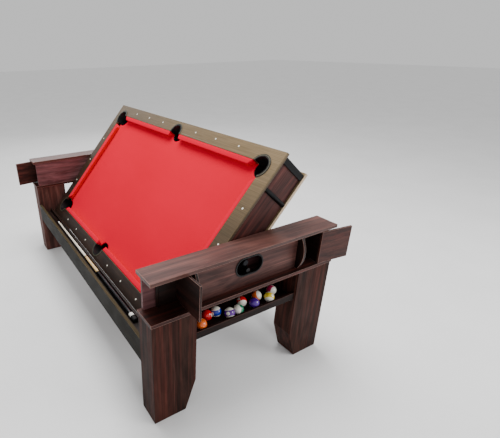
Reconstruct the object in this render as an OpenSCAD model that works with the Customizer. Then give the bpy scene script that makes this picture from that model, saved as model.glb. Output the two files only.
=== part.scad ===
// Flip-over games table: a pool field on one face and a hockey field on the other face of one
// play panel, which turns on two axle stubs between two end frames on box legs.
// Units are millimetres, +Z is up, the table's length lies along Y and its floor is z = 0.
// "near" is the end at -Y, "far" the end at +Y, "left" the side at -X, "right" the side at +X.

/* [End frames] */
// Length of the top boards, across the table
frame_w = 1140; // [1100:10:1200]
// Distance over the outer edges of both top boards
frame_l = 2290; // [2290:10:2400]
// Height of the top boards' upper face
frame_h = 842; // [842:2:860]
// Depth of the top boards, along the table
board_d = 141; // [141:1:150]
// Thickness of the end frames' boards
board_t = 18; // [16:1:20]
// Height of the ledge boards' upper face, on top of the legs
ledge_z = 628; // [620:1:632]
// Width of an oval hand opening
oval_w = 176; // [160:2:190]
// Height of an oval hand opening
oval_h = 108; // [100:2:112]

/* [Legs] */
// Width of a leg's front face
leg_w = 241; // [230:1:250]
// Width of a leg's front face at the floor
leg_foot_w = 181; // [160:1:200]
// Depth of a leg
leg_d = 132; // [125:1:132]
// Height below which a leg's inner side tapers
leg_taper_z = 184; // [150:2:220]
// Thickness of a leg's walls
leg_wall = 15; // [12:1:18]

/* [Play panel] */
// Tilt of the play panel, right side up, away from level with the pool face up
tilt = 49.2; // [0:0.2:60]
// Height of the axle
axle_z = 740; // [736:1:744]
// Width of the play panel's two face plates
panel_w = 1133; // [1120:1:1136]
// Length of the play panel's two face plates
panel_l = 1996; // [1980:1:1998]
// Thickness over both face plates
panel_t = 221; // [215:1:225]
// Width of the opening in the pool face's rail plate
pool_w = 956; // [940:2:964]
// Length of the opening in the pool face's rail plate
pool_l = 1814; // [1800:2:1820]
// Width of the hockey field
rink_w = 946; // [930:2:950]
// Length of the hockey field
rink_l = 1746; // [1730:2:1760]
// Radius of a pocket's hole
pocket_r = 54; // [52:0.5:56]

/* [Wing doors] */
// Length of a wing door's face, from its web
door_l = 198; // [180:1:200]
// Distance from a wing door's hinge rod to the middle of its face
door_reach = 105.5; // [104:0.5:106]
// Angle of the near right wing door, from square to the table
door_near_right_turn = -7; // [-90:0.5:90]
// Angle of the far left wing door, from square to the table
door_far_left_turn = 8; // [-90:0.5:90]

/* [Game pieces] */
// Radius of a pool ball
ball_r = 28.6; // [25.4:0.1:28.6]
// Length of the cue
cue_l = 1500; // [1220:10:1500]

/* [Hidden] */
$fn = 48;

wood = "#4a2c26";
wood_olive = "#6d6248";
dark_plastic = "#1b1b1d";
steel = "#b8bcc0";
felt_red = "#e02338";
ivory = "#f2efe6";

// End frame, measured from the table's middle
frame_y = frame_l / 2;
board_in_y = frame_y - board_d;
top_under = frame_h - board_t;
leg_x = frame_w / 2;
leg_y = frame_y - 5;
leg_in_x = leg_x - leg_w;
leg_in_y = leg_y - leg_d;
ledge_x = leg_x + 4;
leg_top = ledge_z - board_t;
foot_gap = 3;

apron_t = 16;
apron_in_y = board_in_y + 5;
apron_out_y = apron_in_y + apron_t;
apron_x = 551;
apron_cove_r = 19;
centre_t = 16;
centre_out_y = frame_y - 40;
divider_x = leg_in_x - 4;
divider_t = 15;
divider_y = frame_y - 24;
divider_bulge = 34;

bezel_wall = 9;
bezel_flange_t = 4;

// Axle, bearings and index lock
axle_r = 15;
running = 0.05;
bearing_r = 22;
bearing_flange_r = 35;
bearing_flange_t = 4;
end_wall_y = panel_l / 2 - 12;
axle_flange_r = 60;
axle_flange_t = 6;
axle_end_y = frame_y - 67;
disc_r = 48;
disc_t = 8;
disc_in_y = apron_out_y + 5;
disc_out_y = disc_in_y + disc_t;
pin_r = 5;
pin_drop = 32;
pin_tip_gap = 2.5;
guide_in_y = disc_out_y + 10;
guide_t = 12;
guide_w = 50;
knob_r = 12;
knob_t = 22;
knob_out_y = centre_out_y - 6;

// Side rails and cue shelves
rail_t = 18;
rail_low = 316;
rail_high = 456;
shelf_t = 18;
shelf_z = 382;
shelf_low = shelf_z - shelf_t;
shelf_in_x = 454;
lip_x = 483;
lip_t = 8;
lip_high = 410;
rail_in_x = leg_x - rail_t;
bolt_r = 4;
bolt_play = 0.2;
bolt_in_leg = 40;
bolt_in_rail = 30;
bolt_inset = 35;
bolt_x = leg_x - rail_t / 2 - 0.5;
foot_pad_r = 25;
foot_stud_h = 40;

// Ball tray, between the near legs
tray_z = 447;
tray_t = 15;
tray_lip_out = leg_y - 10;
tray_lip_t = 13;
tray_lip_high = 474;
tray_back_t = 8;
tray_front_row_y = -(tray_lip_out - tray_lip_t) + ball_r;
tray_back_row_y = -(leg_in_y + tray_back_t) - ball_r;

// Cue
cue_butt_r = 14.5;
cue_tip_r = 6.5;
cue_start_y = -805;
cue_gap = 0.2;

// Play panel, in its own axes: u across, v along, w out of the pool face
half_w = panel_w / 2;
half_l = panel_l / 2;
half_t = panel_t / 2;
plate_t = 18;
wall_x = half_w - 13;
wall_t = 18;
wall_in_x = wall_x - wall_t;
wall_in_y = end_wall_y - wall_t;
plate_in = half_t - plate_t;
pool_x = pool_w / 2;
pool_y = pool_l / 2;
felt_top = half_t - 42;
felt_t = 2;
bed_t = 18;
bed_low = felt_top - felt_t - bed_t;
nose = 32;
nose_x = pool_x - nose;
nose_y = pool_y - nose;
corner_u = pool_x - 22;
corner_v = pool_y - 26;
side_u = pool_x + 7;
side_r = 50;
cup_wall = 3;
cup_low = 18;
pocket_flange = 15;
pocket_flange_t = 2.5;
corner_mouth = 85;
side_mouth = 65;
sight_r = 5.5;
sight_u = 523;
sight_v = 955;
sight_step = 219;

rink_x = rink_w / 2;
rink_y = rink_l / 2;
rink_r = 60;
rink_z = -half_t + 35;
surface_t = 8;
puck_wall_t = 16;
goal_w = 250;
goal_d = 70;
goal_h = 50;
goal_wall = 4;

fan_v = 300;
fan_w = 140;
fan_h = 60;
fan_wall = 4;
impeller_r = 52;
impeller_h = 34;
motor_r = 20;
fan_shaft_r = 4;

inlet_u = -250;
inlet_bore_r = 8;
inlet_flange = 30;
inlet_flange_t = 2;
inlet_socket_r = 5.5;
inlet_pin_r = 1.2;

// Wing doors and their hinge rods
rod_r = 4;
door_t = 12;
door_gap_z = 4;
hinge_x = 481;
hinge_y = apron_out_y + 10;
barrel_r = 8;
catch_r = 6;
door_low = ledge_z + door_gap_z;
door_high = top_under - door_gap_z;

module box(low, high) translate(low) cube(high - low);

// A plate or block given in the play panel's own axes, set at the panel's tilt
module on_panel() translate([0, 0, axle_z]) rotate([0, -tilt, 0]) children();

// Children drawn at the near end, turned to the far end
module far() rotate([0, 0, 180]) children();
module both_ends() { children(); far() children(); }
module both_sides() { children(); mirror([1, 0, 0]) children(); }
module four_corners() both_sides() { children(); mirror([0, 1, 0]) children(); }

// A cylinder along Y from y0 to y1
module bar_y(r, y0, y1) translate([0, y0, 0]) rotate([-90, 0, 0]) cylinder(r = r, h = y1 - y0);

// ---- Legs ----
module leg_outline(inset, low, high) {
    slope = (leg_w - leg_foot_w) / leg_taper_z;
    polygon([[inset, low], [leg_foot_w - inset + slope * low, low], [leg_w - inset, leg_taper_z],
             [leg_w - inset, high], [inset, high]]);
}

// A closed-bottomed box leg, outer face at x = 0, front face at y = 0
module box_leg() color(wood) difference() {
    translate([0, leg_d, 0]) rotate([90, 0, 0])
        linear_extrude(leg_d) leg_outline(0, foot_gap, leg_top);
    translate([0, leg_d - leg_wall, 0]) rotate([90, 0, 0])
        linear_extrude(leg_d - 2 * leg_wall) leg_outline(leg_wall, foot_gap + leg_wall, leg_top + 1);
    for (z = rail_bolt_heights()) translate([leg_x - bolt_x, 0, z])
        bar_y(bolt_r + bolt_play, leg_d - bolt_in_leg - 1, leg_d + 1);
    translate([leg_foot_w / 2, leg_d / 2, 0])
        cylinder(r = bolt_r + bolt_play, h = foot_gap + leg_wall + 1);
}
function rail_bolt_heights() = [rail_low + bolt_inset, rail_high - bolt_inset];

module near_left_leg_place() translate([-leg_x, -leg_y, 0]) children();
module leg_near_left() near_left_leg_place() box_leg();
module leg_near_right() mirror([1, 0, 0]) leg_near_left();
module leg_far_left() mirror([0, 1, 0]) leg_near_left();
module leg_far_right() far() leg_near_left();

module leveler_feet() color(dark_plastic) four_corners() near_left_leg_place()
    translate([leg_foot_w / 2, leg_d / 2, 0]) {
        cylinder(r = foot_pad_r, h = foot_gap);
        cylinder(r = bolt_r, h = foot_stud_h);
    }

// ---- End frames ----
module ledge_board_near() color(wood) difference() {
    box([-ledge_x, -frame_y, leg_top], [ledge_x, -board_in_y, ledge_z]);
}
module ledge_board_far() far() ledge_board_near();

module top_board_near() color(wood)
    box([-frame_w / 2, -frame_y, top_under], [frame_w / 2, -board_in_y, frame_h]);
module top_board_far() far() top_board_near();

// An inner apron closes each end frame towards the play panel; its upper corners flare outwards
module inner_aprons() color(wood) both_ends() translate([0, -apron_in_y, 0]) rotate([90, 0, 0])
    linear_extrude(apron_t) difference() {
        union() {
            translate([-apron_x, ledge_z]) square([2 * apron_x, top_under - ledge_z]);
            both_sides() difference() {
                translate([apron_x, top_under - apron_cove_r]) square(apron_cove_r);
                translate([apron_x + apron_cove_r, top_under - apron_cove_r]) circle(r = apron_cove_r);
            }
        }
        translate([0, axle_z]) circle(r = bearing_r);
    }

// A stadium outline around the axle
module oval(w, h) for (s = [-1, 1]) {
    translate([s * (w - h) / 2, axle_z]) circle(r = h / 2);
    translate([0, axle_z]) square([w - h, h], center = true);
}

module centre_panel_near() color(wood) translate([0, -centre_out_y + centre_t, 0]) rotate([90, 0, 0])
    linear_extrude(centre_t) difference() {
        translate([-divider_x, ledge_z]) square([2 * divider_x, top_under - ledge_z]);
        oval(oval_w - 2 * bezel_flange_t, oval_h - 2 * bezel_flange_t);
    }
module centre_panel_far() far() centre_panel_near();

module oval_bezel() color(dark_plastic) translate([0, -centre_out_y, 0]) rotate([90, 0, 0]) {
    linear_extrude(bezel_flange_t) difference() {
        oval(oval_w, oval_h);
        oval(oval_w - 2 * bezel_wall, oval_h - 2 * bezel_wall);
    }
    translate([0, 0, -centre_t]) linear_extrude(centre_t) difference() {
        oval(oval_w - 2 * bezel_flange_t, oval_h - 2 * bezel_flange_t);
        oval(oval_w - 2 * bezel_wall, oval_h - 2 * bezel_wall);
    }
}
module oval_bezels() both_ends() oval_bezel();

// A divider's front edge bulges outwards on an arc through its upper and lower corners
module divider() color(wood) {
    chord = (top_under - ledge_z) / 2;
    arc_r = (chord * chord + divider_bulge * divider_bulge) / (2 * divider_bulge);
    translate([divider_x, 0, 0]) rotate([90, 0, 90]) linear_extrude(divider_t) intersection() {
        translate([-frame_y - divider_bulge, ledge_z])
            square([frame_y + divider_bulge - apron_out_y, 2 * chord]);
        union() {
            translate([-divider_y, ledge_z]) square([divider_y - apron_out_y, 2 * chord]);
            translate([-divider_y - divider_bulge + arc_r, ledge_z + chord])
                circle(r = arc_r, $fn = 96);
        }
        translate([-divider_y - divider_bulge, ledge_z])
            square([divider_y + divider_bulge - apron_out_y, 2 * chord]);
    }
}
module divider_boards() four_corners() divider();

module pivot_bearing() color(steel) translate([0, 0, axle_z]) difference() {
    union() {
        bar_y(bearing_r, -apron_out_y, -apron_in_y);
        bar_y(bearing_flange_r, -apron_out_y - bearing_flange_t, -apron_out_y);
    }
    bar_y(axle_r + running, -apron_out_y - bearing_flange_t - 1, -apron_in_y + 1);
}
module pivot_bearings() both_ends() pivot_bearing();

// A post on the ledge board that guides the index pin
module lock_guide() color(steel) difference() {
    box([-guide_w / 2, -guide_in_y - guide_t, ledge_z], [guide_w / 2, -guide_in_y, axle_z - 20]);
    translate([0, 0, axle_z - pin_drop]) bar_y(pin_r + running, -guide_in_y - guide_t - 1, -guide_in_y + 1);
}
module lock_guides() both_ends() lock_guide();

module door_hinge_rods() color(steel) four_corners() translate([hinge_x, -hinge_y, ledge_z])
    cylinder(r = rod_r, h = top_under - ledge_z);

// ---- Side rails, cue shelves and ball tray ----
module side_rail_left() color(wood) difference() {
    box([-leg_x, -leg_in_y, rail_low], [-rail_in_x, leg_in_y, rail_high]);
    for (z = rail_bolt_heights(), s = [-1, 1]) translate([-bolt_x, s * leg_in_y, z])
        bar_y(bolt_r + bolt_play, -bolt_in_rail - 1, bolt_in_rail + 1);
}
module side_rail_right() far() side_rail_left();

module cue_shelf() color(wood) {
    box([shelf_in_x, -leg_in_y, shelf_low], [rail_in_x, leg_in_y, shelf_z]);
    box([lip_x - lip_t, -leg_in_y, shelf_low], [lip_x, leg_in_y, lip_high]);
}
module cue_shelves() both_sides() cue_shelf();

// A headless bolt, half in the leg's wall and half in the side rail
module rail_bolt() color(steel) bar_y(bolt_r, -leg_in_y - bolt_in_leg, -leg_in_y + bolt_in_rail);
module rail_bolts() four_corners() for (z = rail_bolt_heights())
    translate([-bolt_x, 0, z]) rail_bolt();

module ball_tray_floor() color(wood)
    box([-leg_in_x, -(tray_lip_out - tray_lip_t), tray_z - tray_t],
        [leg_in_x, -(leg_in_y + tray_back_t), tray_z]);
module ball_tray_lip() color(wood)
    box([-leg_in_x, -tray_lip_out, tray_z - tray_t],
        [leg_in_x, -(tray_lip_out - tray_lip_t), tray_lip_high]);
module ball_tray_back() color(wood)
    box([-leg_in_x, -(leg_in_y + tray_back_t), tray_z - tray_t], [leg_in_x, -leg_in_y, leg_top]);

// Where the balls lie in the tray: place along the tray, and 0 for its front row, 1 for its back row
ball_places = [[-267, 0], [-204, 1], [-146, 1], [-92, 0], [-33, 0],
               [24, 1], [73, 0], [128, 1], [180, 0], [236, 1]];
module pool_balls() color(ivory) for (b = ball_places)
    translate([b[0], b[1] == 0 ? tray_front_row_y : tray_back_row_y, tray_z + ball_r])
        sphere(r = ball_r);

// The cue lies on the left shelf, against its lip
module pool_cue() color(ivory)
    translate([-lip_x - cue_butt_r - cue_gap, cue_start_y, shelf_z + cue_butt_r + cue_gap])
    rotate([-90, 0, 0]) rotate_extrude($fn = 32)
        polygon([[0, 0], [cue_butt_r - 2, 0], [cue_butt_r, 6], [cue_butt_r - 4, 0.5 * cue_l],
                 [cue_tip_r, cue_l - 4], [cue_tip_r - 2, cue_l], [0, cue_l]]);

// ---- Play panel ----
module rounded(x, y, r) {
    square([2 * x, 2 * (y - r)], center = true);
    square([2 * (x - r), 2 * y], center = true);
    for (s = [-1, 1], t = [-1, 1]) translate([s * (x - r), t * (y - r)]) circle(r = r);
}
module pocket_holes(grow) {
    for (s = [-1, 1], t = [-1, 1]) translate([s * corner_u, t * corner_v]) circle(r = pocket_r + grow);
    for (s = [-1, 1]) translate([s * side_u, 0]) circle(r = side_r + grow);
}

module pool_rail_plate() color(wood_olive) on_panel() translate([0, 0, plate_in])
    linear_extrude(plate_t) difference() {
        square([panel_w, panel_l], center = true);
        square([pool_w, pool_l], center = true);
        pocket_holes(cup_wall);
    }

module hockey_rim_plate() color(wood_olive) on_panel() translate([0, 0, -half_t])
    linear_extrude(plate_t) difference() {
        square([panel_w, panel_l], center = true);
        rounded(rink_x, rink_y, rink_r);
    }

module side_wall() color(wood) difference() {
    box([wall_in_x, -end_wall_y, -plate_in], [wall_x, end_wall_y, plate_in]);
    translate([side_u, 0, cup_low - 1]) cylinder(r = side_r + cup_wall, h = 2 * half_t);
}
module side_wall_right() on_panel() side_wall();
module side_wall_left() on_panel() mirror([1, 0, 0]) side_wall();

module end_wall_near() color(wood) on_panel()
    box([-wall_in_x, -end_wall_y, -plate_in], [wall_in_x, -wall_in_y, plate_in]);
module end_wall_far() color(wood) on_panel() difference() {
    box([-wall_in_x, wall_in_y, -plate_in], [wall_in_x, end_wall_y, plate_in]);
    translate([inlet_u, wall_in_y - 1, 0]) rotate([-90, 0, 0]) cylinder(r = inlet_bore_r, h = wall_t + 2);
}

// Pocket cut-outs of the bed, each open to the board's edge
module bed_notches() {
    pocket_holes(cup_wall);
    for (s = [0, 1], t = [0, 1]) mirror([s, 0]) mirror([0, t]) {
        translate([corner_u, corner_v - pocket_r - cup_wall]) square(2 * pocket_r);
        translate([corner_u - pocket_r - cup_wall, corner_v]) square(3 * pocket_r);
    }
    for (s = [0, 1]) mirror([s, 0]) translate([side_u, -side_r - cup_wall])
        square(2 * (side_r + cup_wall));
}

module bed_board() color(wood) on_panel() translate([0, 0, bed_low]) linear_extrude(bed_t)
    difference() {
        square(2 * [wall_in_x, wall_in_y], center = true);
        bed_notches();
    }

module felt_cloth() color(felt_red) on_panel() translate([0, 0, felt_top - felt_t])
    linear_extrude(felt_t) difference() {
        square([pool_w, pool_l], center = true);
        pocket_holes(cup_wall);
    }

// A cushion's section: x is the distance in from the rail plate's edge, y the height
module cushion_section() polygon([[0, felt_top], [14, felt_top], [nose, felt_top + 31],
                                  [nose, felt_top + 36], [8, half_t], [0, half_t]]);

// A cushion along +Y from v0 to v1 at its nose, on the edge at u = 0, its nose towards -u;
// its ends open outwards by cut0 and cut1
module cushion(v0, v1, cut0, cut1) intersection() {
    translate([0, v1 + cut1 + 1, 0]) rotate([90, 0, 0]) linear_extrude(v1 - v0 + cut0 + cut1 + 2)
        mirror([1, 0]) cushion_section();
    linear_extrude(2 * half_t)
        polygon([[-nose, v0], [-nose, v1], [0, v1 + cut1], [0, v0 - cut0]]);
}
long_end = nose_y - corner_mouth;
corner_cut = 26;
side_cut = 9;
module cushions_right() color(felt_red) on_panel() for (s = [0, 1]) mirror([0, s, 0])
    translate([pool_x, 0, 0]) cushion(side_mouth, long_end, side_cut, corner_cut);
module cushions_left() color(felt_red) on_panel() for (s = [0, 1]) mirror([1, 0, 0])
    mirror([0, s, 0]) translate([pool_x, 0, 0]) cushion(side_mouth, long_end, side_cut, corner_cut);
module end_cushion() color(felt_red) translate([0, -pool_y, 0]) rotate([0, 0, -90])
    cushion(-(nose_x - corner_mouth), nose_x - corner_mouth, corner_cut, corner_cut);
module cushion_near() on_panel() end_cushion();
module cushion_far() on_panel() far() end_cushion();

// A pocket cup with a flange on the rail plate, open towards the field above the bed
module pocket(u, v, r) color(dark_plastic) difference() {
    union() {
        translate([u, v, cup_low]) cylinder(r = r + cup_wall, h = half_t - cup_low);
        translate([u, v, half_t]) cylinder(r = r + pocket_flange, h = pocket_flange_t);
    }
    translate([u, v, cup_low + cup_wall]) cylinder(r = r, h = 2 * half_t);
    box([-pool_x, -pool_y, felt_top - felt_t], [pool_x, pool_y, 2 * half_t]);
}
module corner_pockets() on_panel() four_corners() pocket(corner_u, corner_v, pocket_r);
module side_pockets() on_panel() both_sides() pocket(side_u, 0, side_r);

module rail_sights() color(ivory) on_panel() translate([0, 0, half_t]) {
    for (s = [-1, 1], t = [-3, -2, -1, 1, 2, 3]) translate([s * sight_u, t * sight_step, 0])
        cylinder(r = sight_r, h = 0.8, $fn = 24);
    for (s = [-1, 1], t = [-1, 0, 1]) translate([t * sight_step, s * sight_v, 0])
        cylinder(r = sight_r, h = 0.8, $fn = 24);
}

// Strips and half-round grips between the face plates, on the end walls
bar_w = 35;
bar_t = 8;
bar_out = 550;
grip_r = 13;
grip_u = 361;
module corner_bars() color(dark_plastic) on_panel() four_corners()
    box([bar_out - bar_w, -end_wall_y - bar_t, -plate_in], [bar_out, -end_wall_y, plate_in]);
module grip_bars() color(dark_plastic) on_panel() four_corners() intersection() {
    translate([grip_u, -end_wall_y, -plate_in]) cylinder(r = grip_r, h = 2 * plate_in);
    box([grip_u - grip_r, -end_wall_y - grip_r, -half_t], [grip_u + grip_r, -end_wall_y, half_t]);
}

module axle_stub() color(steel) translate([0, 0, axle_z]) difference() {
    union() {
        bar_y(axle_flange_r, -end_wall_y - axle_flange_t, -end_wall_y);
        bar_y(axle_r, -axle_end_y, -end_wall_y - axle_flange_t);
        bar_y(disc_r, -disc_out_y, -disc_in_y);
    }
    for (turn = [0, tilt, tilt - 180]) rotate([0, -turn, 0]) translate([0, 0, -pin_drop])
        bar_y(pin_r + 0.2, -disc_out_y - 1, -disc_in_y + 1);
}
module axle_stubs() { axle_stub(); mirror([0, 1, 0]) axle_stub(); }

// ---- Hockey face ----
module goal_cut(grow) for (s = [-1, 1])
    translate([0, s * (rink_y + puck_wall_t + goal_d / 2)])
        square([goal_w + 2 * goal_wall + grow, goal_d], center = true);
module hockey_surface() color(ivory) on_panel() translate([0, 0, rink_z]) linear_extrude(surface_t)
    difference() {
        square(2 * [wall_in_x, wall_in_y], center = true);
        goal_cut(0);
    }
module puck_wall() color(dark_plastic) on_panel() translate([0, 0, -plate_in])
    linear_extrude(rink_z + plate_in) difference() {
        rounded(rink_x + puck_wall_t, rink_y + puck_wall_t, rink_r + puck_wall_t);
        rounded(rink_x, rink_y, rink_r);
        square([goal_w, 2 * half_l], center = true);
    }

module goal_box() color(dark_plastic) difference() {
    y0 = rink_y + puck_wall_t;
    box([-goal_w / 2 - goal_wall, y0, -plate_in], [goal_w / 2 + goal_wall, y0 + goal_d, goal_h - plate_in]);
    box([-goal_w / 2, y0 - 1, -plate_in - 1],
        [goal_w / 2, y0 + goal_d - goal_wall, goal_h - plate_in - goal_wall]);
}
module goal_boxes() on_panel() { goal_box(); mirror([0, 1, 0]) goal_box(); }

// Socket for the blower's supply, in the far end wall
module power_inlet() color(dark_plastic) on_panel() translate([inlet_u, end_wall_y, 0]) rotate([-90, 0, 0]) {
    difference() {
        union() {
            linear_extrude(inlet_flange_t) square(inlet_flange, center = true);
            translate([0, 0, -wall_t]) cylinder(r = inlet_bore_r - 2 * running, h = wall_t + 1);
        }
        translate([0, 0, 4 - wall_t]) cylinder(r = inlet_socket_r, h = wall_t);
    }
    translate([0, 0, 3 - wall_t]) cylinder(r = inlet_pin_r, h = wall_t - 3);
}

// Blower inside the panel, on the back of the hockey surface
module blower_housing() color(dark_plastic) on_panel() translate([0, fan_v, rink_z + surface_t]) {
    difference() {
        translate([-fan_w / 2, -fan_w / 2, 0]) cube([fan_w, fan_w, fan_h]);
        translate([0, 0, fan_wall]) cylinder(r = fan_w / 2 - 6, h = fan_h);
    }
    translate([0, 0, fan_wall]) cylinder(r = motor_r, h = 8);
    translate([0, 0, fan_wall + 8]) cylinder(r = fan_shaft_r, h = fan_h - fan_wall - 16);
}
module blower_impeller() color(steel) on_panel()
    translate([0, fan_v, rink_z + surface_t + fan_wall + 10]) difference() {
        union() {
            cylinder(r = 14, h = impeller_h);
            cylinder(r = impeller_r, h = 3);
            for (k = [0:8]) rotate([0, 0, 40 * k]) translate([12, -1.5, 0])
                cube([impeller_r - 14, 3, impeller_h]);
        }
        translate([0, 0, -1]) cylinder(r = fan_shaft_r + running, h = impeller_h + 2);
    }

// ---- Index lock ----
module lock_plunger_near() color(dark_plastic) translate([0, 0, axle_z - pin_drop]) {
    bar_y(pin_r, -knob_out_y + knob_t, -disc_out_y - pin_tip_gap);
    bar_y(knob_r, -knob_out_y, -knob_out_y + knob_t);
}
module lock_plunger_far() far() lock_plunger_near();

// ---- Wing doors, drawn about their hinge rod with the face square to the table ----
module door_web() color(wood) translate([0, 0, door_low]) difference() {
    union() {
        cylinder(r = barrel_r, h = door_high - door_low);
        translate([-door_t / 2, -door_reach + door_t / 2, 0])
            cube([door_t, door_reach - door_t / 2, door_high - door_low]);
        translate([door_t / 2, -door_reach + 20, 20]) rotate([0, 90, 0]) cylinder(r = catch_r, h = 1.5);
    }
    translate([0, 0, -1]) cylinder(r = rod_r + running, h = door_high - door_low + 2);
}
module door_face() color(wood)
    translate([-door_t / 2, -door_reach - door_t / 2, door_low])
        cube([door_l + door_t / 2, door_t, door_high - door_low]);

module near_right_door(turn) translate([hinge_x, -hinge_y, 0]) rotate([0, 0, turn]) children();
module door_web_near_right() near_right_door(door_near_right_turn) door_web();
module door_face_near_right() near_right_door(door_near_right_turn) door_face();
module door_web_near_left() mirror([1, 0, 0]) near_right_door(-90) door_web();
module door_face_near_left() mirror([1, 0, 0]) near_right_door(-90) door_face();
module door_web_far_left() far() near_right_door(door_far_left_turn) door_web();
module door_face_far_left() far() near_right_door(door_far_left_turn) door_face();
module door_web_far_right() far() door_web_near_left();
module door_face_far_right() far() door_face_near_left();

leg_near_left();
leg_near_right();
leg_far_left();
leg_far_right();
leveler_feet();
ledge_board_near();
ledge_board_far();
top_board_near();
top_board_far();
inner_aprons();
centre_panel_near();
centre_panel_far();
oval_bezels();
divider_boards();
pivot_bearings();
lock_guides();
door_hinge_rods();
side_rail_left();
side_rail_right();
cue_shelves();
rail_bolts();
ball_tray_floor();
ball_tray_lip();
ball_tray_back();
pool_cue();
pool_balls();
pool_rail_plate();
hockey_rim_plate();
side_wall_left();
side_wall_right();
end_wall_near();
end_wall_far();
bed_board();
felt_cloth();
cushions_left();
cushions_right();
cushion_near();
cushion_far();
corner_pockets();
side_pockets();
rail_sights();
corner_bars();
grip_bars();
axle_stubs();
hockey_surface();
puck_wall();
goal_boxes();
power_inlet();
blower_housing();
blower_impeller();
lock_plunger_near();
lock_plunger_far();
door_web_near_left();
door_face_near_left();
door_web_near_right();
door_face_near_right();
door_web_far_left();
door_face_far_left();
door_web_far_right();
door_face_far_right();
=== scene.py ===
import math
import random

import bpy
import bmesh
from mathutils import Matrix, Vector, noise


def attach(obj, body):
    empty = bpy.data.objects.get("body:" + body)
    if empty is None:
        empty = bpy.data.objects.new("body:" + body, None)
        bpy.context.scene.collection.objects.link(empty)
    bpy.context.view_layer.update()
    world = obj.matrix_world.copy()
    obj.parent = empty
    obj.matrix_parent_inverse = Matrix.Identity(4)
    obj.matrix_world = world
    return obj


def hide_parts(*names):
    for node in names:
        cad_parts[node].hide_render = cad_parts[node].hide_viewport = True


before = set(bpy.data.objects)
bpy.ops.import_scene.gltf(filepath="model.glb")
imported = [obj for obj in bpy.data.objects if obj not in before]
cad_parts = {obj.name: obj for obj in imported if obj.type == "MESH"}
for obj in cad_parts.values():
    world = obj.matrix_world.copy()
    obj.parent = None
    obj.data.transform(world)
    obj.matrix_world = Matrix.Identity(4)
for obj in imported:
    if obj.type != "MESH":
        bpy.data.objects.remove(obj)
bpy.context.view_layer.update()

# ---------------------------------------------------------------- sizes, in metres
TILT = math.radians(49.2)
AXLE_Z = 0.740
HALF_T = 0.1105
FELT_TOP = 0.0685
FELT_THICK = 0.0014
POOL_X, POOL_Y = 0.478, 0.907
NOSE = 0.032
CORNER = (0.456, 0.881)
SIDE = (0.485, 0.0)
POCKET_R, SIDE_R, CUP_WALL = 0.054, 0.050, 0.003
NOSE_X, NOSE_Y = POOL_X - NOSE, POOL_Y - NOSE
BALL_R = 0.0286
RAIL_TOP = 0.456
PANEL_HALF_X, PANEL_HALF_Y = 0.5665, 0.998
PLATE_BACK, PLATE_FACE = 0.09, 0.11
HOCKEY_RIM_BACK = -0.093
FLANGE_RING_R = 0.0625
TRAY_FRONT, TRAY_LIP_T = 1.130, 0.013
TRAY_BACK, TRAY_BACK_T = 1.008, 0.008
TRAY_FLOOR = 0.447
SHELF_TOP, SHELF_LIP_X = 0.382, 0.483
CUE_L, CUE_START_Y = 1.500, -0.805
CUE_BUTT_R, CUE_MIDDLE_R, CUE_TIP_R = 0.0145, 0.0105, 0.0065
CUE_GAP = 0.0002
PANEL = Matrix.Translation((0, 0, AXLE_Z)) @ Matrix.Rotation(-TILT, 4, "Y")


def rgb(r, g, b):
    """An sRGB colour of 0 to 255 as linear values."""
    out = []
    for c in (r, g, b):
        c /= 255
        out.append(c / 12.92 if c <= 0.04045 else ((c + 0.055) / 1.055) ** 2.4)
    return (*out, 1.0)


def tinted(colour, red, green=None, blue=None):
    """A linear colour with its channels multiplied, by one factor or by three."""
    factors = (red, red if green is None else green, red if blue is None else blue)
    return tuple(min(1, c * f) for c, f in zip(colour, factors)) + (1,)


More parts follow.
